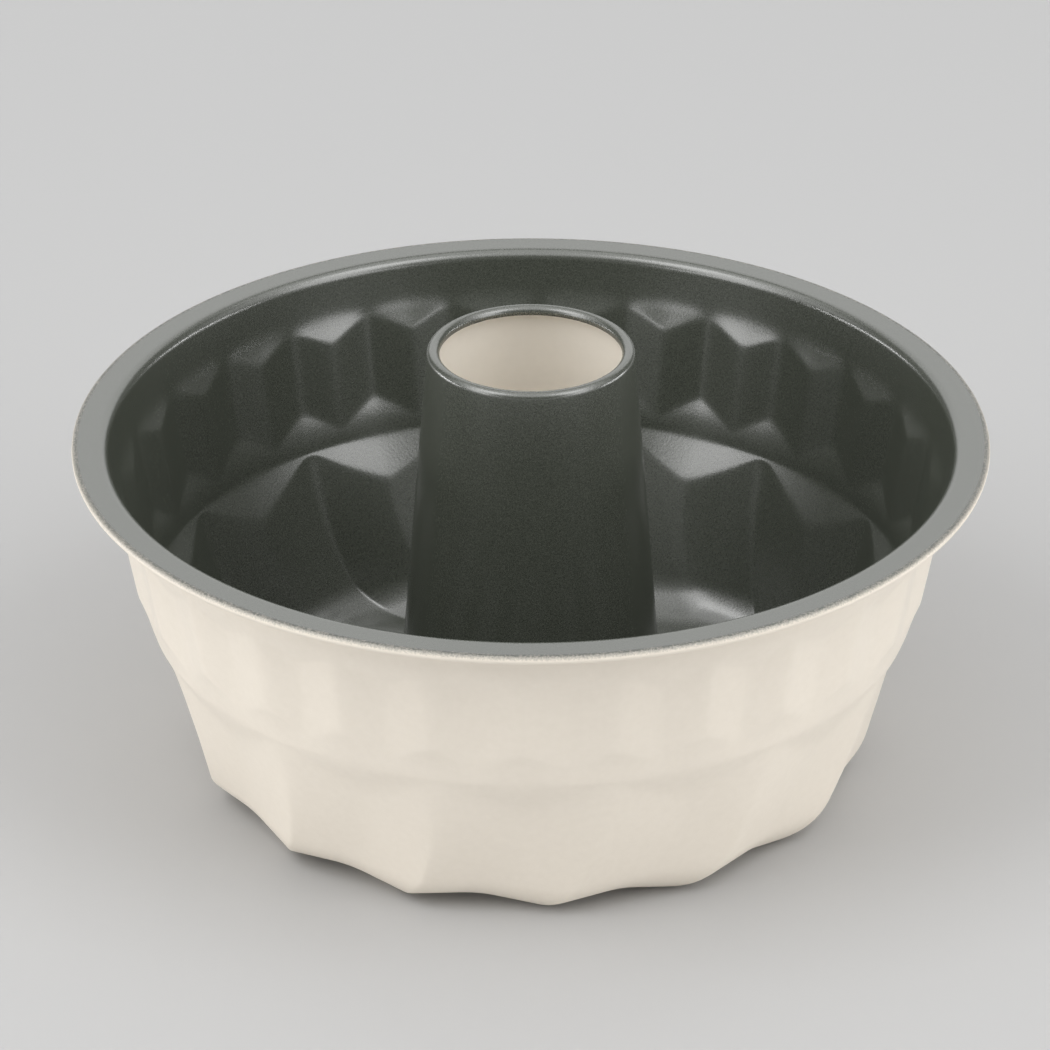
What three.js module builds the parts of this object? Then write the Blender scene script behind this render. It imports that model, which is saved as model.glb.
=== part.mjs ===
// Fluted ring cake pan: a bowl pressed from coated sheet steel, and a tall tapered tube
// through its middle that is rolled round the edge of a hole in the bowl's floor.
// Millimetres, +Z up, the pan's axis on Z, standing on z = 0, one wide rib towards +Y.
import * as THREE from "three";

const { degToRad } = THREE.MathUtils;

// Sheet steel with its coatings, and the room left in the rolled seam
const SHEET = 0.6;
const SEAM_CLEARANCE = 0.3;

// Rim: a flat flange round the opening, its outer edge curled under into a bead
const RIM_DIAMETER = 220;
const RIM_HEIGHT = 87.5;
const FLANGE_WIDTH = 8.5;
const OPENING_FILLET = 2.5;
const BEAD_DIAMETER = 2.2;
const BEAD_TURN = degToRad(270);

// Pattern: wide lobes below, and narrow flutes above them
const LOBES = 14;
const FLUTES_PER_LOBE = 2;

// Upper wall, measured down from the flange and in from the opening
const FLUTE_TOP_DROP = 10;
const FLUTE_TOP_INSET = 1.6;
const SHIELD_TIP_DROP = 17.1;
const SHIELD_TIP_INSET = 4.6;
const FLUTE_FOOT_DROP = 33.7;
const FLUTE_FOOT_INSET = 6;
const BAND_DROP = 42.3;
const BAND_INSET = 8.9;
const KITE_TOP_DROP = 43.3;
const KITE_TOP_INSET = 9.1;
const KITE_TIP_DROP = 54;
const CREASE = 0.8; // shortest edge, where a pointed facet runs out on a ridge or a rib

// Lower wall: lobes that swirl as they turn under into the floor
const LOBE_DRAFT = degToRad(17.9);
const LOBE_DEPTH_TOP = 2.2;
const LOBE_DEPTH_FOOT = 2.4;
const FLOOR_CORNER = 10.8;
const SWIRL_TURN = degToRad(31);
const SWIRL_EASE = 2.4;

// Floor: a flat ring that the pan stands on, rising inside it to the hole for the tube
const LAND_DIAMETER = 104;
const LAND_WIDTH = 8;
const CROWN_HEIGHT = 6.5;
const CROWN_BEND = 1.6;

// Centre tube, with its top edge curled in and its foot hooked round the bowl's collar
const TUBE_HEIGHT = 110.5;
const TUBE_TOP_DIAMETER = 49.8;
const TUBE_FOOT_DIAMETER = 66;
const TUBE_CURL_DIAMETER = 3.1;
const TUBE_CURL_TURN = degToRad(200);
const SEAM_LIFT = 1.7;
const HOOK_HEIGHT = 1.5;

// Fineness of the surface; an even number of columns puts one on each ridge and each rib
const COLUMNS_PER_FLUTE = 2;
const TUBE_SIDES = 56;
const ARC_STEP = degToRad(45);
const CORNER_STEPS = 4;
const LOBE_STEPS = 3;

// Finishes
const CREAM_COAT = { color: 0xe2d8cb, roughness: 0.45, metalness: 0 };
const DARK_NONSTICK = { color: 0x4b4f49, roughness: 0.4, metalness: 0 };

const FLUTES = LOBES * FLUTES_PER_LOBE;
const COLUMNS = FLUTES * COLUMNS_PER_FLUTE;
const OPENING_RADIUS = RIM_DIAMETER / 2 - FLANGE_WIDTH;
const LAND_RADIUS = LAND_DIAMETER / 2;

// The channel between the tube and its hook holds the bowl's collar with clearance on both sides.
const TUBE_FOOT_RADIUS = TUBE_FOOT_DIAMETER / 2;
const COLLAR_RADIUS = TUBE_FOOT_RADIUS + SEAM_CLEARANCE;
const HOOK_BEND = SHEET / 2 + SEAM_CLEARANCE;
const SEAM_HEIGHT = SEAM_LIFT + SHEET + HOOK_BEND;

const at = (radius, height) => new THREE.Vector2(radius, height);
const fromRim = (inset, drop) => at(OPENING_RADIUS - inset, RIM_HEIGHT - drop);

// Points on an arc in the radius-height plane, both ends included
function arc(centre, radius, from, to, steps) {
  const points = [];
  for (let i = 0; i <= steps; i++) {
    const angle = THREE.MathUtils.lerp(from, to, i / steps);
    points.push(at(centre.x + radius * Math.cos(angle), centre.y + radius * Math.sin(angle)));
  }
  return points;
}

function arcSteps(turn) {
  return Math.ceil(Math.abs(turn) / ARC_STEP);
}

// Right-hand normal of a step along a line in the radius-height plane
function normalOf(a, b) {
  const along = b.clone().sub(a).normalize();
  return at(along.y, -along.x);
}

// The far face of the sheet: the line moved to its right by the sheet's thickness
function farFace(line) {
  const last = line.length - 1;
  return line.map((point, i) => {
    const before = normalOf(line[Math.max(i - 1, 0)], line[Math.max(i, 1)]);
    const after = normalOf(line[Math.min(i, last - 1)], line[Math.min(i + 1, last)]);
    const mitre = before.clone().add(after).divideScalar(1 + before.dot(after));
    return point.clone().addScaledVector(mitre, SHEET);
  });
}

// A level of the bowl is where the food side of the sheet lies on the outward ridges and on the
// inward ribs, with the number of folds between them, none on a round level.
function roundLevel(point, twist = 0) {
  return { ridge: point, rib: point, folds: 0, twist };
}

function fluteLevel(ridge, rib) {
  return { ridge, rib, folds: FLUTES, ribShift: 0.5, twist: 0 };
}

function lobeLevel(ridge, rib, twist) {
  return { ridge, rib, folds: LOBES, ribShift: 0, twist };
}

// Hole, collar and crown of the floor, from the edge inside the tube's hook outwards
function crownLevels() {
  const landInside = at(LAND_RADIUS - LAND_WIDTH, SHEET);
  const bend = at(COLLAR_RADIUS + CROWN_BEND, CROWN_HEIGHT - CROWN_BEND);
  const slope = landInside.clone().sub(bend);
  const slopeStart = Math.atan2(slope.y, slope.x) + Math.acos(CROWN_BEND / slope.length());
  const crest = arc(bend, CROWN_BEND, Math.PI, slopeStart, arcSteps(Math.PI - slopeStart));
  const points = [at(COLLAR_RADIUS, SEAM_HEIGHT), ...crest, landInside, at(LAND_RADIUS, SHEET)];
  return points.map((point) => roundLevel(point, SWIRL_TURN));
}

// Swirled lobes, from the flat land up to the facets over them. Each station is a point on the
// outward ridge, the lean of the sheet there and the depth of the rib beside it.
function lobeLevels() {
  const top = fromRim(KITE_TOP_INSET, KITE_TOP_DROP);
  const foot = at(0, SHEET + FLOOR_CORNER * (1 - Math.sin(LOBE_DRAFT)));
  const ridgeRadius = (height) => top.x - (top.y - height) * Math.tan(LOBE_DRAFT);
  foot.x = ridgeRadius(foot.y);
  const centre = at(foot.x - FLOOR_CORNER * Math.cos(LOBE_DRAFT), SHEET + FLOOR_CORNER);
  const tipHeight = RIM_HEIGHT - KITE_TIP_DROP;
  const tip = at(ridgeRadius(tipHeight), tipHeight);

  const stations = [];
  for (let i = 0; i < LOBE_STEPS; i++) {
    const share = i / LOBE_STEPS;
    const depth = THREE.MathUtils.lerp(LOBE_DEPTH_TOP, LOBE_DEPTH_FOOT, share);
    stations.push({ point: tip.clone().lerp(foot, share), lean: LOBE_DRAFT, depth });
  }
  for (const point of arc(centre, FLOOR_CORNER, -LOBE_DRAFT, -Math.PI / 2, CORNER_STEPS)) {
    const lean = Math.atan2(centre.y - point.y, point.x - centre.x);
    stations.push({ point, lean, depth: LOBE_DEPTH_FOOT });
  }
  const floorMiddle = at((centre.x + LAND_RADIUS) / 2, SHEET);
  stations.push({ point: floorMiddle, lean: Math.PI / 2, depth: LOBE_DEPTH_FOOT / 2 });

  const lengths = [0];
  for (let i = 1; i < stations.length; i++) {
    lengths.push(lengths[i - 1] + stations[i].point.distanceTo(stations[i - 1].point));
  }
  const whole = lengths[lengths.length - 1] + floorMiddle.x - LAND_RADIUS;
  const levels = stations.map(({ point, lean, depth }, i) => {
    const rib = at(point.x - depth * Math.cos(lean), point.y + depth * Math.sin(lean));
    return lobeLevel(point, rib, SWIRL_TURN * (lengths[i] / whole) ** SWIRL_EASE);
  });
  const ridgeStart = at(ridgeRadius(top.y - CREASE), top.y - CREASE);
  levels[0] = lobeLevel(ridgeStart, levels[0].rib, 0);
  return levels.toReversed();
}

// Upper wall: the kites' top edge, a plain band, the flutes with their pointed ends, a plain band
function fluteLevels() {
  const band = fromRim(BAND_INSET, BAND_DROP);
  const top = fromRim(FLUTE_TOP_INSET, FLUTE_TOP_DROP);
  const foot = fromRim(FLUTE_FOOT_INSET, FLUTE_FOOT_DROP);
  const shieldTip = fromRim(SHIELD_TIP_INSET, SHIELD_TIP_DROP);
  const shortOf = (end, other) => end.clone().lerp(other, CREASE / end.distanceTo(other));
  return [
    roundLevel(fromRim(KITE_TOP_INSET, KITE_TOP_DROP)),
    roundLevel(band),
    fluteLevel(foot, shortOf(band, shieldTip)),
    fluteLevel(shortOf(top, foot), shieldTip),
    roundLevel(top),
  ];
}

// Rounded edge of the opening, flat flange and curled bead
function rimLevels() {
  const lean = Math.atan(FLUTE_TOP_INSET / FLUTE_TOP_DROP);
  const filletRun = (OPENING_FILLET * (1 - Math.sin(lean))) / Math.cos(lean);
  const fillet = at(OPENING_RADIUS + filletRun, RIM_HEIGHT - OPENING_FILLET);
  const curl = BEAD_DIAMETER / 2;
  const bead = at(RIM_DIAMETER / 2 - curl, RIM_HEIGHT - curl);
  const quarter = Math.PI / 2;
  return [
    ...arc(fillet, OPENING_FILLET, Math.PI - lean, quarter, arcSteps(quarter)),
    ...arc(bead, curl, quarter, quarter - BEAD_TURN, arcSteps(BEAD_TURN)),
  ].map((point) => roundLevel(point));
}

// The ring of points at one level. Between a rib and a ridge the points lie on the straight chord,
// so that the sheet's facets are flat.
function ringOf({ folds, ribShift, twist }, ridge, rib) {
  const ring = [];
  for (let column = 0; column < COLUMNS; column++) {
    const turn = column / COLUMNS;
    let radius = ridge.x;
    let height = ridge.y;
    if (folds) {
      const half = Math.PI / folds;
      const phase = turn * folds - ribShift;
      const fromRib = 2 * half * Math.abs(phase - Math.round(phase));
      const across = Math.sin(half - fromRib) / rib.x + Math.sin(fromRib) / ridge.x;
      radius = Math.sin(half) / across;
      const share = (radius * Math.sin(fromRib)) / (ridge.x * Math.sin(half));
      height = THREE.MathUtils.lerp(rib.y, ridge.y, share);
    }
    const angle = Math.PI / 2 + 2 * Math.PI * turn - twist;
    ring.push(new THREE.Vector3(radius * Math.cos(angle), radius * Math.sin(angle), height));
  }
  return ring;
}

// Closed surface through rings of points, the last ring joined to the first. Each four-sided patch
// is split along its shorter diagonal.
function closedSurface(rings) {
  const index = [];
  rings.forEach((ring, row) => {
    const nextRow = (row + 1) % rings.length;
    ring.forEach((corner, column) => {
      const nextColumn = (column + 1) % COLUMNS;
      const a = row * COLUMNS + column;
      const b = row * COLUMNS + nextColumn;
      const c = nextRow * COLUMNS + nextColumn;
      const d = nextRow * COLUMNS + column;
      const acrossFirst = corner.distanceTo(rings[nextRow][nextColumn]);
      const acrossSecond = ring[nextColumn].distanceTo(rings[nextRow][column]);
      if (acrossFirst < acrossSecond) {
        index.push(a, b, c, a, c, d);
      } else {
        index.push(a, b, d, b, c, d);
      }
    });
  });
  const geometry = new THREE.BufferGeometry().setFromPoints(rings.flat());
  geometry.setIndex(index);
  return geometry;
}

function bowlGeometry() {
  const levels = [...crownLevels(), ...lobeLevels(), ...fluteLevels(), ...rimLevels()];
  const underRidge = farFace(levels.map((level) => level.ridge));
  const underRib = farFace(levels.map((level) => level.rib));
  const foodSide = levels.map((level) => ringOf(level, level.ridge, level.rib));
  const underSide = levels.map((level, i) => ringOf(level, underRidge[i], underRib[i]));
  return closedSurface([...underSide, ...foodSide.toReversed()]);
}

function tubeGeometry() {
  const curl = TUBE_CURL_DIAMETER / 2;
  const curlCentre = at(TUBE_TOP_DIAMETER / 2 - curl, TUBE_HEIGHT - curl);
  const hookCentre = at(TUBE_FOOT_RADIUS + HOOK_BEND, SEAM_HEIGHT);
  const face = [
    ...arc(curlCentre, curl, TUBE_CURL_TURN, 0, arcSteps(TUBE_CURL_TURN)),
    at(TUBE_FOOT_RADIUS, CROWN_HEIGHT),
    ...arc(hookCentre, HOOK_BEND, -Math.PI, 0, arcSteps(Math.PI)),
    at(hookCentre.x + HOOK_BEND, SEAM_HEIGHT + HOOK_HEIGHT),
  ];
  const inside = farFace(face);
  const outline = [...inside, ...face.toReversed(), inside[0]];
  return new THREE.LatheGeometry(outline, TUBE_SIDES).rotateX(Math.PI / 2);
}

const pan = new THREE.Group();

const bowl = new THREE.Mesh(
  bowlGeometry(),
  new THREE.MeshStandardMaterial({ ...CREAM_COAT, flatShading: true }),
);
bowl.name = "fluted_bowl";
pan.add(bowl);

const tube = new THREE.Mesh(tubeGeometry(), new THREE.MeshStandardMaterial(DARK_NONSTICK));
tube.name = "centre_tube";
pan.add(tube);

export default pan;
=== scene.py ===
import math

import bmesh
import bpy
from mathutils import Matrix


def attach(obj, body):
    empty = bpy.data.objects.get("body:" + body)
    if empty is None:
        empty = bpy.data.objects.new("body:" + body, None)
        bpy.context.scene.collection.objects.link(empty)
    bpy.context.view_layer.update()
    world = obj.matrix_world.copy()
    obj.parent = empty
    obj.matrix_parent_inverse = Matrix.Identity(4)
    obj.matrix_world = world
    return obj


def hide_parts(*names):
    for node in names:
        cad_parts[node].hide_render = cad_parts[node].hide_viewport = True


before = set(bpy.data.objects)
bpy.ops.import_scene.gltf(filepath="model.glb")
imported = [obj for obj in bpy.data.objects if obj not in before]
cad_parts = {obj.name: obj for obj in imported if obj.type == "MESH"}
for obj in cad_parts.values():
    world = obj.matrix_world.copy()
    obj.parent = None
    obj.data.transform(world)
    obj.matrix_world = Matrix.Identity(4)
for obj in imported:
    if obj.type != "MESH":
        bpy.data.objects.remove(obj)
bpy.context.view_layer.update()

# Bowl: one sheet of coated steel, pressed into a crowned floor, 14 swirled lobes, two narrow flutes
# over each lobe, and a flat rim whose edge is curled under. One lobe's width of the sheet is drawn
# out from the hole in the floor to the curled edge, ring by ring, and then repeated round the axis.
MM = 0.001
AXIS = (0.0, 0.0, 0.0)
LOBES = 14
HALF_LOBE = math.pi / LOBES
HALF_FLUTE = HALF_LOBE / 2

# Sizes are in mm. A pair of numbers is a point of the sheet's food side, its radius and its height.
sheet = 0.6

# Columns of the sheet from a lobe's inward rib to its outward ridge, as shares of that angle. They
# crowd on the folds: a lobe's rib and a flute's ridge at 0, a flute's rib at the middle, and a ridge
# of both at 1.
COLUMNS = (0, 0.025, 0.06, 0.12, 0.2, 0.3, 0.4, 0.46, 0.5, 0.54, 0.6, 0.7, 0.8, 0.9, 0.96, 1)


def mix(a, b, share):
    return tuple(x + (y - x) * share for x, y in zip(a, b))


def line_at(low, high, height):
    """Radius at a height on the straight line through two points, radius and height in mm."""
    return low[0] + (high[0] - low[0]) * (height - low[1]) / (high[1] - low[1])


def bend(centre, radius, start, end, steps):
    """Points round a bend, radius and height in mm."""
    angles = [start + (end - start) * i / steps for i in range(steps + 1)]
    return [(centre[0] + radius * math.cos(a), centre[1] + radius * math.sin(a)) for a in angles]


def rounded(angle, ease):
    """Distance from a fold, without the point that it has on the fold itself."""
    return angle if angle > ease else (angle * angle + ease * ease) / (2 * ease)


def fold(rib, ridge, half, angle):
    """Point at an angle from the rib, on the straight sheet between a rib and a ridge."""
    across = math.sin(half - angle) / rib[0] + math.sin(angle) / ridge[0]
    radius = math.sin(half) / across
    share = radius * math.sin(angle) / (ridge[0] * math.sin(half))
    return (radius, rib[1] + (ridge[1] - rib[1]) * share)


def meeting_height(first, second, low, high):
    """Height at which two profiles cross, the first one being the wider of them at the top."""
    for _ in range(40):
        middle = (low + high) / 2
        if first(middle) > second(middle):
            high = middle
        else:
            low = middle
    return low


def round_ring(point, turn=0.0):
    return {"at": [point] * len(COLUMNS), "turn": turn}


rings = []

# Floor: a collar round the hole, a crown, and the flat ring that the pan stands on. It has the whole
# turn of the swirl.
collar = (33.3, 2.9)
crown_height = 6.5
crown_bend = 1.6
land_inside = (44.0, sheet)
land_outside = (52.0, sheet)
swirl = math.radians(31.0)
bend_centre = (collar[0] + crown_bend, crown_height - crown_bend)
slope = (land_inside[0] - bend_centre[0], land_inside[1] - bend_centre[1])
slope_start = math.atan2(slope[1], slope[0]) + math.acos(crown_bend / math.hypot(*slope))
crown = [collar] + bend(bend_centre, crown_bend, math.pi, slope_start, 6)
crown += [mix(crown[-1], land_inside, share) for share in (0.08, 0.5, 0.92, 1.0)]
crown += [mix(land_inside, land_outside, share) for share in (0.1, 0.5, 0.9, 1.0)]
rings += [round_ring(point, swirl) for point in crown]

# Lobes: their ridges and ribs leave the flat ring, turn up round the corner and run up the wall,
# and lose their swirl on the way. The outward ridges are sharp and the inward ribs are soft.
corner = 13.0
draft = math.radians(16.6)
lobe_depth_foot = 2.8
lobe_belly = 0.1
rib_ease = 5.0
ridge_ease = 0.5
swirl_ease = 2.4
kite_tip_height = 33.5
kite_top = (92.4, 44.2)
foot_height = sheet + corner * (1 - math.sin(draft))
foot_radius = kite_top[0] - (kite_top[1] - foot_height) * math.tan(draft)
foot = (foot_radius, foot_height)
tip_radius = kite_top[0] - (kite_top[1] - kite_tip_height) * math.tan(draft)
corner_centre = (foot_radius - corner * math.cos(draft), sheet + corner)
floor_run = corner_centre[0] - land_outside[0]
corner_run = corner * (math.pi / 2 - draft)
wall_run = (kite_tip_height - foot_height) / math.cos(draft)
whole_run = floor_run + corner_run + wall_run


def turn_at(run):
    """Swirl of a ring whose ridge lies this far from the kite's tip, along the sheet."""
    return swirl * (run / whole_run) ** swirl_ease


def lobe_point(rib, ridge, share, lean, belly, eases=(rib_ease, ridge_ease)):
    """Point of a lobe at a share of the way from its rib to its ridge, whose folds are eased."""
    angle = rounded(share * HALF_LOBE, eases[0] / rib[0])
    angle = HALF_LOBE - rounded(HALF_LOBE - angle, eases[1] / ridge[0])
    radius, height = fold(rib, ridge, HALF_LOBE, angle)
    out = belly * math.sin(math.pi * share)
    return (radius + out * math.cos(lean), height - out * math.sin(lean))


for share in (0.15, 0.3, 0.45, 0.6, 0.75, 0.88, 1.0):
    ridge = (land_outside[0] + floor_run * share, sheet)
    rib = (ridge[0], sheet + lobe_depth_foot * share)
    points = [lobe_point(rib, ridge, column, math.pi / 2, 0.0) for column in COLUMNS]
    rings.append({"at": points, "turn": turn_at(whole_run - floor_run * share)})
CORNER_RINGS = 12
for i in range(1, CORNER_RINGS + 1):
    share = i / CORNER_RINGS
    lean = math.pi / 2 + (draft - math.pi / 2) * share
    out, up = math.cos(lean), -math.sin(lean)
    inner = corner - lobe_depth_foot
    ridge = (corner_centre[0] + corner * out, corner_centre[1] + corner * up)
    rib = (corner_centre[0] + inner * out, corner_centre[1] + inner * up)
    belly = lobe_belly * share**2
    points = [lobe_point(rib, ridge, column, lean, belly) for column in COLUMNS]
    rings.append({"at": points, "turn": turn_at(wall_run + corner_run * (1 - share))})

# Kites: the round step over the lobes, cut into pointed facets where the lobes' sides run into it.
# Up the wall the lobes' ribs grow sharper and their ridges softer.
lobe_depth_top = 2.4
wall_belly = 0.3
rib_ease_loss = 3.2
ridge_ease_gain = 1.8
ridge_lift = 0.11
below_kite_tip = 3
least_kite = 0.8
rib_foot = (foot[0] - lobe_depth_foot * math.cos(draft),
            foot[1] + lobe_depth_foot * math.sin(draft))
rib_tip = (tip_radius - lobe_depth_top * math.cos(draft),
           kite_tip_height + lobe_depth_top * math.sin(draft))


def lobe_side(share):
    """Profile of the lobe's wall at a share of the way from rib to ridge: radius by height."""
    def radius(height):
        rise = max(0, height - foot[1]) / (kite_top[1] - foot[1])
        eases = (rib_ease - rib_ease_loss * rise, ridge_ease + ridge_ease_gain * rise)
        belly = wall_belly + (lobe_belly - wall_belly) * (1 - rise) ** 2
        lift = ridge_lift * (eases[1] - ridge_ease)
        rib = (line_at(rib_foot, rib_tip, height), height)
        ridge = (line_at(foot, kite_top, height) + lift, height)
        return lobe_point(rib, ridge, share, 0.0, belly, eases)[0]
    return radius


def kite(height):
    return line_at(rib_tip, kite_top, height)


kite_foot = []
for column in COLUMNS:
    height = meeting_height(kite, lobe_side(column), rib_tip[1] - below_kite_tip, kite_top[1])
    kite_foot.append(min(height, kite_top[1] - least_kite))
lobe_foot = rings[-1]["at"]
for share in (0.04, 0.12, 0.24, 0.37, 0.5, 0.63, 0.76, 0.88, 0.96, 1.0):
    points = []
    for column, low, high in zip(COLUMNS, lobe_foot, kite_foot):
        height = low[1] + (high - low[1]) * share
        points.append((lobe_side(column)(height), height))
    rings.append({"at": points, "turn": turn_at(wall_run * (1 - share))})
for share in (0.05, 0.15, 0.35, 0.6, 0.8, 0.94, 1.0):
    heights = [low + (kite_top[1] - low) * share for low in kite_foot]
    rings.append({"at": [(kite(height), height) for height in heights], "turn": 0.0})

# Flutes: straight folds. Below they run out in pointed patches of the step that the kites hang
# from, and above in pointed shields of the step under the opening; both steps are hollow curves.
patch_slope = 0.1
patch_tip = (95.5, 53.8)
above_patch_tip = 2
least_patch = 0.6
shield_tip = (96.9, 70.4)
shield_tip_ease = 0.06
shield_rise = 5.2
shield_arch = 1.3
shield_fade = 4.5
most_fade = 0.8
band_slope = 0.16
flute_top = (100.0, 78.0)
flute_rib_ease = 0.8
flute_ridge_ease = 2.0
flute_ridge_lift = 0.2
patch_rise = patch_tip[1] - kite_top[1]
patch_curve = (patch_tip[0] - kite_top[0] - patch_slope * patch_rise) / patch_rise**2


def patch(height):
    rise = height - kite_top[1]
    return kite_top[0] + patch_slope * rise + patch_curve * rise**2


def shield(low, share):
    """Point of a shield: straight over its lower edge, then running out softly into the band."""
    whole = flute_top[1] - low[1]
    fade = min(shield_fade, most_fade * whole)
    slope = (flute_top[0] - low[0] - band_slope * fade / 2) / (whole - fade / 2)
    drop = whole * (1 - share)
    bent = min(drop, fade)
    inset = band_slope * drop + (slope - band_slope) * (bent**2 / (2 * fade) + drop - bent)
    return (flute_top[0] - inset, flute_top[1] - drop)


def flute_side(share):
    """Profile of a flute at a share of the way from the lobe's rib: radius by height."""
    from_rib = abs(share - 0.5) * HALF_LOBE
    angle = rounded(from_rib, flute_rib_ease / shield_tip[0])
    angle = HALF_FLUTE - rounded(HALF_FLUTE - angle, flute_ridge_ease / shield_tip[0])

    def radius(height):
        rib = (line_at(kite_top, shield_tip, height), height)
        ridge = (line_at(patch_tip, flute_top, height) + flute_ridge_lift, height)
        return fold(rib, ridge, HALF_FLUTE, angle)[0]
    return radius


patch_edge = []
shield_edge = []
for column in COLUMNS:
    height = meeting_height(patch, flute_side(column), kite_top[1], patch_tip[1] + above_patch_tip)
    patch_edge.append(max(height, kite_top[1] + least_patch))
    from_rib = rounded(abs(column - 0.5) * 2, shield_tip_ease)
    arch = shield_arch * max(0, from_rib - 0.5) ** 2
    shield_edge.append(shield_tip[1] + shield_rise * (from_rib - arch))
for share in (0.06, 0.2, 0.4, 0.6, 0.8, 0.94, 1.0):
    heights = [kite_top[1] + (high - kite_top[1]) * share for high in patch_edge]
    rings.append({"at": [(patch(height), height) for height in heights], "turn": 0.0})
for share in (0.025, 0.1, 0.3, 0.5, 0.7, 0.9, 0.975, 1.0):
    points = []
    for column, low, high in zip(COLUMNS, patch_edge, shield_edge):
        height = low + (high - low) * share
        points.append((flute_side(column)(height), height))
    rings.append({"at": points, "turn": 0.0})
shield_foot = rings[-1]["at"]
for share in (0.07, 0.2, 0.4, 0.6, 0.8, 1.0):
    rings.append({"at": [shield(low, share) for low in shield_foot], "turn": 0.0})

# Rim: a plain band, the rounded edge of the opening, the flat flange and its curled edge.
opening = (101.5, 87.5)
fillet = 2.5
bead = 1.1
bead_turn = math.radians(270)
rim_radius = 110.0
lean = math.atan2(opening[0] - flute_top[0], opening[1] - flute_top[1])
fillet_centre = (opening[0] + fillet * (1 - math.sin(lean)) / math.cos(lean), opening[1] - fillet)
bead_centre = (rim_radius - bead, opening[1] - bead)
edge_bend = bend(fillet_centre, fillet, math.pi - lean, math.pi / 2, 8)
rim = [mix(flute_top, edge_bend[0], share) for share in (0.1, 0.4, 0.75, 0.95)] + edge_bend
rim += [mix(rim[-1], (bead_centre[0], opening[1]), share) for share in (0.1, 0.5, 0.95)]
rim += bend(bead_centre, bead, math.pi / 2, math.pi / 2 - bead_turn, 18)
rings += [round_ring(point) for point in rim]

bpy.ops.object.select_all(action="DESELECT")
bpy.ops.mesh.primitive_circle_add(vertices=4 * LOBES, radius=collar[0] * MM,
                                  location=(0, 0, collar[1] * MM))
bowl = bpy.context.object
bowl.name = "pressed_bowl"
bpy.ops.object.transform_apply(location=True, rotation=True, scale=True)
bowl.vertex_groups.new(name="pressed_wall")
bpy.ops.object.mode_set(mode="EDIT")
bpy.ops.mesh.select_mode(type="VERT")


def select_only(piece, wanted):
    """Selects the vertices that are wanted, and the edges and faces between them."""
    mesh = bmesh.from_edit_mesh(piece.data)
    bpy.ops.mesh.select_all(action="DESELECT")
    for vert in mesh.verts:
        vert.select = wanted(vert)
    mesh.select_flush(True)
    bmesh.update_edit_mesh(piece.data)


# One vertex of the circle, the one on +Y, is kept and drawn out round the axis, from ridge to ridge,
# into the edge of the collar. Turning by a positive value goes clockwise here, seen from above.
near = 0.1 * MM
select_only(bowl, lambda v: math.hypot(v.co.x, v.co.y - collar[0] * MM) > near)
bpy.ops.mesh.delete(type="VERT")
bpy.ops.mesh.select_all(action="SELECT")
bpy.ops.transform.rotate(value=swirl - HALF_LOBE, orient_axis="Z", center_override=AXIS)
strips = [-share for share in reversed(COLUMNS)] + list(COLUMNS[1:])
for here, there in zip(strips, strips[1:]):
    bpy.ops.mesh.extrude_region_move(TRANSFORM_OT_translate={"value": (0, 0, 0)})
    bpy.ops.transform.rotate(value=(there - here) * HALF_LOBE, orient_axis="Z", center_override=AXIS)


def column_of(vert, turn):
    """Index of the column that a vertex of the turned lobe stands on."""
    angle = math.pi / 2 - math.atan2(vert.co.y, vert.co.x) - turn
    share = abs((angle + math.pi) % (2 * math.pi) - math.pi) / HALF_LOBE
    return min(range(len(COLUMNS)), key=lambda i: abs(COLUMNS[i] - share))


# Each ring is drawn out clear of the others, turned, shaped column by column and set down.
CLEAR = 0.5
select_only(bowl, lambda v: True)
made = rings[0]
for ring in rings[1:]:
    bpy.ops.mesh.extrude_region_move(TRANSFORM_OT_translate={"value": (0, 0, CLEAR)})
    turn = ring["turn"] - made["turn"]
    if turn:
        bpy.ops.transform.rotate(value=turn, orient_axis="Z", center_override=AXIS)
    moves = {}
    for column, (old, new) in enumerate(zip(made["at"], ring["at"])):
        moves.setdefault((new[0] / old[0], (new[1] - old[1]) * MM), []).append(column)
    for (grow, rise), columns in moves.items():
        if len(moves) > 1:
            select_only(bowl, lambda v: v.co.z > CLEAR / 2 and column_of(v, ring["turn"]) in columns)
        bpy.ops.transform.resize(value=(grow, grow, 1), center_override=AXIS)
        bpy.ops.transform.translate(value=(0, 0, rise))
    select_only(bowl, lambda v: v.co.z > CLEAR / 2)
    bpy.ops.transform.translate(value=(0, 0, -CLEAR))
    made = ring
bpy.ops.mesh.select_all(action="SELECT")
bpy.ops.mesh.spin(steps=LOBES - 1, dupli=True, angle=2 * math.pi * (LOBES - 1) / LOBES,
                  center=AXIS, axis=(0, 0, 1))
bpy.ops.mesh.select_all(action="SELECT")
bpy.ops.mesh.remove_doubles(threshold=0.00002)


def ease_group(piece, group, rounds):
    """Eases the folds among the vertices of a group."""
    ease = piece.modifiers.new(group, "SMOOTH")
    ease.factor = 0.5
    ease.iterations = rounds
    ease.vertex_group = group
    bpy.ops.object.modifier_apply(modifier=ease.name)


def give_thickness(piece):
    """Gives a piece its sheet's thickness behind its faces, with the next coat on the back."""
    wall = piece.modifiers.new("sheet", "SOLIDIFY")
    wall.thickness = sheet * MM
    wall.offset = -1
    wall.use_even_offset = True
    wall.use_quality_normals = True
    wall.material_offset = 1
    wall.material_offset_rim = 1
    bpy.ops.object.modifier_apply(modifier=wall.name)


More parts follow.
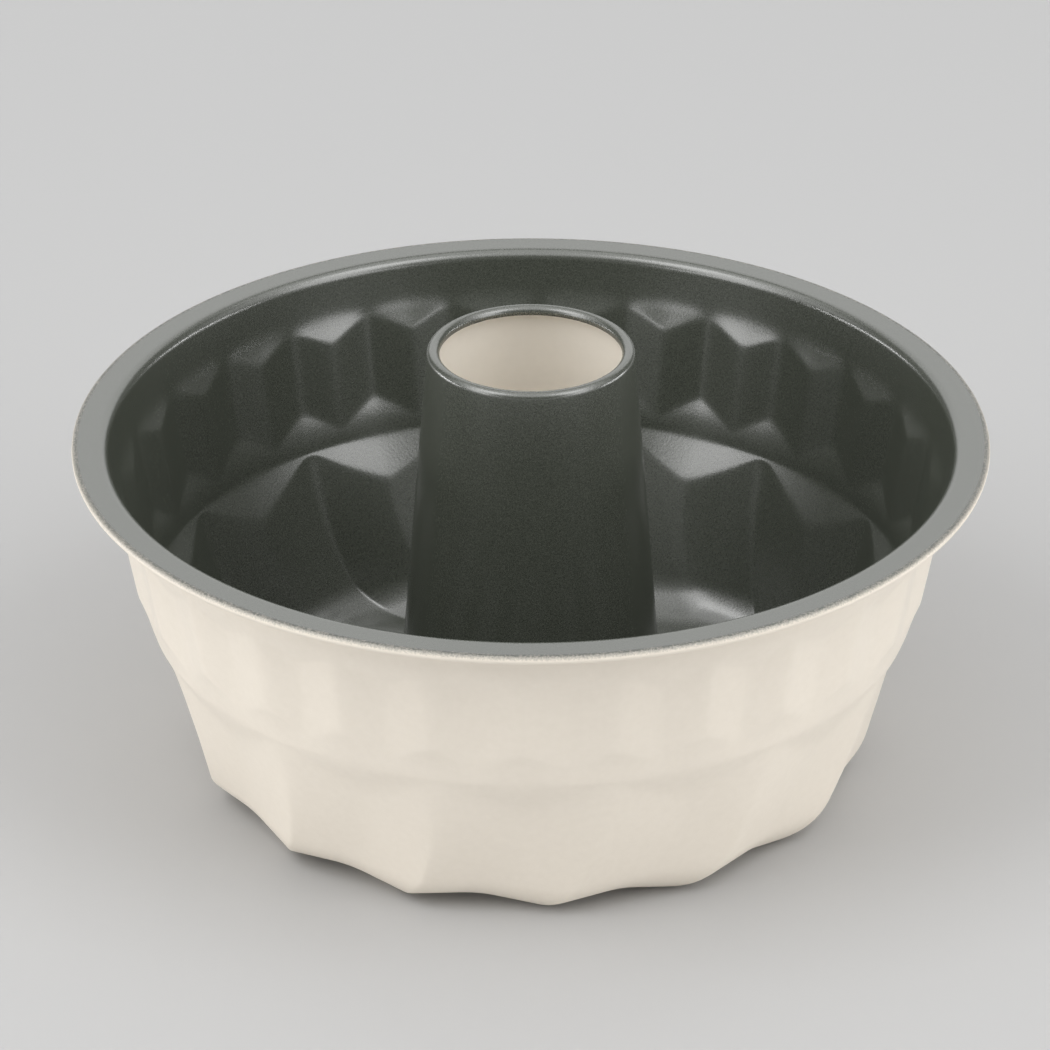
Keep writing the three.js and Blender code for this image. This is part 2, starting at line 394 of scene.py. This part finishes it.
# The whole sheet faces its food side, its folds are eased, and it gets its thickness outwards. Each
# coat of the food side is followed by the coat behind it.
wall_low = 18 * MM
wall_high = 80 * MM
bpy.ops.mesh.select_all(action="SELECT")
bpy.ops.mesh.normals_make_consistent(inside=False)
mesh = bmesh.from_edit_mesh(bowl.data)
mesh.faces.ensure_lookup_table()
land_face = min(mesh.faces, key=lambda face: face.calc_center_median().z)
if land_face.normal.z < 0:
    bpy.ops.mesh.flip_normals()
wall_outside = (flute_top[0] + 1) * MM
select_only(bowl, lambda v: math.hypot(v.co.x, v.co.y) < wall_outside and wall_low < v.co.z < wall_high)
bpy.ops.object.vertex_group_assign()
bpy.ops.object.mode_set(mode="OBJECT")
ease_group(bowl, "pressed_wall", 8)
bowl.vertex_groups.clear()

dark = bpy.data.materials.new("nonstick_enamel")
cream = bpy.data.materials.new("cream_enamel")
edge = bpy.data.materials.new("bead_enamel")
for coat in (dark, cream, edge, cream):
    bowl.data.materials.append(coat)
edge_inset = 0.3
edge_from = (bead_centre[0] - edge_inset) * MM
for face in bowl.data.polygons:
    if math.hypot(face.center.x, face.center.y) > edge_from:
        face.material_index = 2
give_thickness(bowl)

# The enamel runs together over the step on the outside, which shows there only as a soft turn.
step_low = 30 * MM
step_high = 50 * MM
sharp_fold = math.radians(50)
bowl.vertex_groups.new(name="outer_step")


def on_outer_step(vert):
    outside = all(face.material_index == 1 for face in vert.link_faces)
    return outside and step_low < vert.co.z < step_high


bpy.ops.object.mode_set(mode="EDIT")
select_only(bowl, on_outer_step)
bpy.ops.object.vertex_group_assign()
bpy.ops.object.mode_set(mode="OBJECT")
ease_group(bowl, "outer_step", 25)
bowl.vertex_groups.clear()
bpy.ops.object.shade_smooth_by_angle(angle=sharp_fold)
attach(bowl, "root")
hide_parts("fluted_bowl")

# Non-stick coat of the food side: dark grey-green enamel with a fine pale speckle and a slight
# orange-peel grain from spraying, baked to a satin gloss.
dark.use_nodes = True
tree = dark.node_tree
shader = tree.nodes["Principled BSDF"]
shader.inputs["Roughness"].default_value = 0.27
shader.inputs["IOR"].default_value = 2.15
where = tree.nodes.new("ShaderNodeTexCoord")
speckle = tree.nodes.new("ShaderNodeTexNoise")
speckle.inputs["Scale"].default_value = 2400
speckle.inputs["Detail"].default_value = 2
tone = tree.nodes.new("ShaderNodeValToRGB")
tone.color_ramp.elements[0].position = 0.35
tone.color_ramp.elements[0].color = (0.043, 0.048, 0.037, 1)
tone.color_ramp.elements[1].position = 0.7
tone.color_ramp.elements[1].color = (0.074, 0.081, 0.064, 1)
grain = tree.nodes.new("ShaderNodeTexNoise")
grain.inputs["Scale"].default_value = 1500
grain.inputs["Detail"].default_value = 3
relief = tree.nodes.new("ShaderNodeBump")
relief.inputs["Strength"].default_value = 0.6
relief.inputs["Distance"].default_value = 0.00004
tree.links.new(where.outputs["Object"], speckle.inputs["Vector"])
tree.links.new(where.outputs["Object"], grain.inputs["Vector"])
tree.links.new(speckle.outputs["Fac"], tone.inputs["Fac"])
tree.links.new(tone.outputs["Color"], shader.inputs["Base Color"])
tree.links.new(grain.outputs["Fac"], relief.inputs["Height"])
tree.links.new(relief.outputs["Normal"], shader.inputs["Normal"])

# Cream coat of the outside: satin enamel, even, with a faint mottle.
cream.use_nodes = True
tree = cream.node_tree
shader = tree.nodes["Principled BSDF"]
shader.inputs["Roughness"].default_value = 0.42
where = tree.nodes.new("ShaderNodeTexCoord")
mottle = tree.nodes.new("ShaderNodeTexNoise")
mottle.inputs["Scale"].default_value = 500
mottle.inputs["Detail"].default_value = 4
tone = tree.nodes.new("ShaderNodeValToRGB")
tone.color_ramp.elements[0].position = 0.3
tone.color_ramp.elements[0].color = (0.800, 0.735, 0.640, 1)
tone.color_ramp.elements[1].position = 0.7
tone.color_ramp.elements[1].color = (0.820, 0.755, 0.660, 1)
relief = tree.nodes.new("ShaderNodeBump")
relief.inputs["Strength"].default_value = 0.2
relief.inputs["Distance"].default_value = 0.00002
tree.links.new(where.outputs["Object"], mottle.inputs["Vector"])
tree.links.new(mottle.outputs["Fac"], tone.inputs["Fac"])
tree.links.new(tone.outputs["Color"], shader.inputs["Base Color"])
tree.links.new(mottle.outputs["Fac"], relief.inputs["Height"])
tree.links.new(relief.outputs["Normal"], shader.inputs["Normal"])

# Bead's edge: the dark coat thins out over the bead's top and the cream one meets it in a speckle.
edge.use_nodes = True
tree = edge.node_tree
shader = tree.nodes["Principled BSDF"]
shader.inputs["Roughness"].default_value = 0.42
where = tree.nodes.new("ShaderNodeTexCoord")
height = tree.nodes.new("ShaderNodeSeparateXYZ")
spray = tree.nodes.new("ShaderNodeTexNoise")
spray.inputs["Scale"].default_value = 2200
spray.inputs["Detail"].default_value = 3
level = tree.nodes.new("ShaderNodeMath")
level.operation = "MULTIPLY_ADD"
level.inputs[1].default_value = 0.0009
fade = tree.nodes.new("ShaderNodeMapRange")
fade.inputs["From Min"].default_value = 0.0870
fade.inputs["From Max"].default_value = 0.0880
tone = tree.nodes.new("ShaderNodeValToRGB")
tone.color_ramp.elements[0].color = (0.81, 0.745, 0.65, 1)
tone.color_ramp.elements[1].color = (0.10, 0.104, 0.094, 1)
tree.links.new(where.outputs["Object"], height.inputs["Vector"])
tree.links.new(where.outputs["Object"], spray.inputs["Vector"])
tree.links.new(spray.outputs["Fac"], level.inputs[0])
tree.links.new(height.outputs["Z"], level.inputs[2])
tree.links.new(level.outputs["Value"], fade.inputs["Value"])
tree.links.new(fade.outputs["Result"], tone.inputs["Fac"])
tree.links.new(tone.outputs["Color"], shader.inputs["Base Color"])

# Centre tube: a tapered sleeve of the same sheet, dark outside and cream inside, the cream there
# painted paler as painted light inside the tube. Its top edge is curled inwards and its foot is
# rolled out and up round the bowl's collar, which holds it.
tube_height = 110.5
tube_top = 24.9
tube_foot = 33.0
curl = 1.55
curl_turn = math.radians(200)
seam_height = 2.9
hook_bend = 0.6
hook_height = 1.5
TUBE_ROUND = 192
curl_centre = (tube_top - curl, tube_height - curl)
hook_centre = (tube_foot + hook_bend, seam_height)
sleeve = [(hook_centre[0] + hook_bend, seam_height + hook_height)]
sleeve += bend(hook_centre, hook_bend, 0.0, -math.pi, 8)
taper = [(tube_foot, crown_height), (tube_top, curl_centre[1])]
sleeve += [mix(*taper, share) for share in (0.0, 0.02, 0.25, 0.5, 0.75, 0.98)]
sleeve += bend(curl_centre, curl, 0.0, curl_turn, 20)


def draw_out(points):
    """Draws the selected round edge out through these points, radius and height in mm."""
    old_radius, old_height = points[0]
    for radius, height in points[1:]:
        grow = radius / old_radius
        rise = (height - old_height) * MM
        bpy.ops.mesh.extrude_region_move(TRANSFORM_OT_translate={"value": (0, 0, rise)})
        bpy.ops.transform.resize(value=(grow, grow, 1), center_override=AXIS)
        old_radius, old_height = radius, height


bpy.ops.object.select_all(action="DESELECT")
bpy.ops.mesh.primitive_circle_add(vertices=TUBE_ROUND, radius=sleeve[0][0] * MM,
                                  location=(0, 0, sleeve[0][1] * MM))
tube = bpy.context.object
tube.name = "centre_tube_sleeve"
bpy.ops.object.transform_apply(location=True, rotation=True, scale=True)
bpy.ops.object.mode_set(mode="EDIT")
bpy.ops.mesh.select_all(action="SELECT")
draw_out(sleeve)
bpy.ops.mesh.select_all(action="SELECT")
bpy.ops.mesh.normals_make_consistent(inside=False)
mesh = bmesh.from_edit_mesh(tube.data)
wall_face = max(mesh.faces, key=lambda face: face.calc_area())
outward = wall_face.calc_center_median()
if wall_face.normal.x * outward.x + wall_face.normal.y * outward.y < 0:
    bpy.ops.mesh.flip_normals()
bpy.ops.object.mode_set(mode="OBJECT")
tube.data.materials.append(dark)
# The lining is the same cream coat painted paler: painted light for the inside of the tube.
lining_painted_lighter = cream.copy()
lining_painted_lighter.name = "tube_lining_painted_lighter"
ramp = lining_painted_lighter.node_tree.nodes["Color Ramp"].color_ramp
ramp.elements[0].color = (0.945, 0.895, 0.810, 1)
ramp.elements[1].color = (0.960, 0.910, 0.825, 1)
tube.data.materials.append(lining_painted_lighter)
give_thickness(tube)
bpy.ops.object.shade_smooth_by_angle(angle=sharp_fold)
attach(tube, "root")
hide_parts("centre_tube")

# Studio: a floor that gives pale light back from below and is seen as a plain grey, and faint light
# all round. On each side stand a large soft box, a weaker one further round, and under them a low
# panel and a low strip; wide weak boxes stand behind and overhead.
bpy.ops.object.select_all(action="DESELECT")
bpy.ops.mesh.primitive_plane_add(size=12, location=(0, 0, 0))
floor = bpy.context.object
floor.name = "floor"
paint = bpy.data.materials.new("floor_paint")
paint.use_nodes = True
tree = paint.node_tree
shader = tree.nodes["Principled BSDF"]
shader.inputs["Roughness"].default_value = 1.0
shader.inputs["Specular IOR Level"].default_value = 0.0
ray = tree.nodes.new("ShaderNodeLightPath")
seen = tree.nodes.new("ShaderNodeMath")
seen.operation = "MAXIMUM"
seen_through = tree.nodes.new("ShaderNodeMath")
seen_through.operation = "MAXIMUM"
tone = tree.nodes.new("ShaderNodeMix")
tone.data_type = "RGBA"
tone.inputs["A"].default_value = (0.66, 0.66, 0.66, 1)
tone.inputs["B"].default_value = (0.47, 0.47, 0.47, 1)
tree.links.new(ray.outputs["Is Camera Ray"], seen.inputs[0])
tree.links.new(ray.outputs["Is Glossy Ray"], seen.inputs[1])
tree.links.new(seen.outputs["Value"], seen_through.inputs[0])
tree.links.new(ray.outputs["Is Transmission Ray"], seen_through.inputs[1])
tree.links.new(seen_through.outputs["Value"], tone.inputs["Factor"])
tree.links.new(tone.outputs["Result"], shader.inputs["Base Color"])
floor.data.materials.append(paint)

world = bpy.data.worlds.new("studio")
bpy.context.scene.world = world
world.use_nodes = True
world.node_tree.nodes["Background"].inputs["Color"].default_value = (1.0, 1.0, 1.0, 1)
world.node_tree.nodes["Background"].inputs["Strength"].default_value = 0.16


def soft_box(name, azimuth, elevation, distance, width, height, radiance):
    """Area lamp seen from the pan at this azimuth from the camera's side, aimed at the pan."""
    a, e = math.radians(azimuth), math.radians(elevation)
    place = (math.sin(a) * math.cos(e), -math.cos(a) * math.cos(e), math.sin(e))
    bpy.ops.object.light_add(type="AREA", location=[distance * x for x in place])
    lamp = bpy.context.object
    lamp.name = name
    lamp.rotation_euler = (math.pi / 2 - e, 0, a)
    lamp.data.shape = "RECTANGLE"
    lamp.data.size = width
    lamp.data.size_y = height
    lamp.data.energy = math.pi * width * height * radiance
    lamp.visible_camera = False


soft_box("box_left", -60, 42, 2.5, 1.2, 2.5, 2.8)
soft_box("box_right", 60, 42, 2.5, 1.2, 2.5, 2.6)
soft_box("side_left", -93, 40, 2.5, 0.9, 1.7, 0.8)
soft_box("side_right", 93, 40, 2.5, 0.9, 1.7, 0.7)
soft_box("low_left", -50, 10, 2.8, 1.4, 0.55, 2.8)
soft_box("low_right", 50, 10, 2.8, 1.4, 0.55, 2.6)
soft_box("edge_left", -100, 3, 2.8, 1.8, 0.34, 9.5)
soft_box("edge_right", 100, 3, 2.8, 1.8, 0.34, 8.5)
soft_box("box_back", 180, 30, 2.8, 3.6, 2.0, 1.15)
soft_box("box_top", 0, 80, 2.8, 4.4, 4.4, 1.15)

# Camera at the photograph's angle.
bpy.ops.object.camera_add(location=(0.02561, -1.33389, 0.77265),
                          rotation=(math.radians(61.98), 0, math.radians(1.16)))
camera = bpy.context.object
camera.data.lens = 214.36
camera.data.sensor_width = 36
bpy.context.scene.camera = camera
bpy.context.scene.view_settings.view_transform = "Standard"
